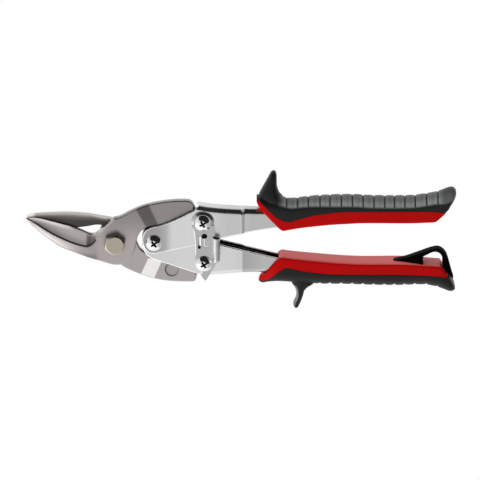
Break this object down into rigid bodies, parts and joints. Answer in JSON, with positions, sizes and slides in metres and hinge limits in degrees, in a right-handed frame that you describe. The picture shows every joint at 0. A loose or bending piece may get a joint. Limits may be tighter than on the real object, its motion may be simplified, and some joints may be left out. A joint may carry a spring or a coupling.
{
  "type": "aviation snips",
  "caption": "Compound-action aviation snips for sheet metal: forged jaws on a hex bolt, pinned U-channel handles, swinging latch, black and red grips with finger guards and a hanging loop.",
  "frame": {"origin": "middle of the whole tool's bounding box, handles closed; the main bolt's axis is 73.05 mm to -X and 1.1 mm to -Y of it, and the blades' shear plane 0.55 mm to -Z", "axes": "+X along the tool from the jaws to the grips, +Y towards the upper handle, +Z out of the face that carries the bolt's head"},
  "size_m": [0.2494, 0.0842, 0.025],
  "materials": {
    "forged_steel": "satin, ground and clear coated",
    "plated_sheet": "satin plated pressed sheet",
    "bright_screw": "bright plated",
    "bolt_steel": "pale yellow passivated",
    "black_wire": "blackened spring wire",
    "red_grip": "satin red hard plastic",
    "black_grip": "matt black soft grip"
  },
  "bodies": {
    "upper_handle": {"upper_handle_channel": "plated_sheet", "handle_pivot_screw": "bright_screw", "handle_pivot_bush": "plated_sheet", "handle_pivot_nut": "bright_screw", "upper_link_screw": "bright_screw", "upper_link_spacer": "plated_sheet", "upper_link_nut": "bright_screw", "latch_washer": "plated_sheet", "upper_grip_core": "red_grip", "upper_grip_cover": "black_grip"},
    "lower_handle": {"lower_handle_channel": "plated_sheet", "lower_link_screw": "bright_screw", "lower_link_spacer": "plated_sheet", "lower_link_nut": "bright_screw", "opening_spring": "black_wire", "lower_grip_core": "red_grip", "lower_grip_cover": "black_grip", "hanging_loop": "black_grip"},
    "near_blade": {"lower_jaw_blade": "forged_steel", "pivot_bolt": "bolt_steel", "pivot_washer": "plated_sheet", "pivot_lock_nut": "bolt_steel"},
    "far_blade": {"upper_jaw_blade": "forged_steel"},
    "latch": {"latch_plate": "plated_sheet"}
  },
  "joints": [
    {"name": "handle_open", "type": "hinge", "parent": "upper_handle", "child": "lower_handle", "pos_m": [-0.05041, -0.00055, -0.00055], "axis": [0, 0, -1], "range_deg": [0, 30]},
    {"name": "arm_swing", "type": "hinge", "parent": "upper_handle", "child": "near_blade", "pos_m": [-0.02211, 0.0126, -0.00055], "axis": [0, 0, -1], "range_deg": [0, 6.96]},
    {"name": "blade_pivot", "type": "hinge", "parent": "near_blade", "child": "far_blade", "pos_m": [-0.07305, -0.0011, -0.00055], "axis": [0, 0, -1], "range_deg": [0, 16.08]},
    {"name": "latch_turn", "type": "hinge", "parent": "upper_handle", "child": "latch", "pos_m": [-0.02211, 0.0126, 0.00815], "axis": [0, 0, 1], "range_deg": [0, 35]}
  ],
  "couplings": [
    {"joint": "arm_swing", "follows": "handle_open", "ratio": 0.232},
    {"joint": "blade_pivot", "follows": "handle_open", "ratio": 0.536}
  ]
}
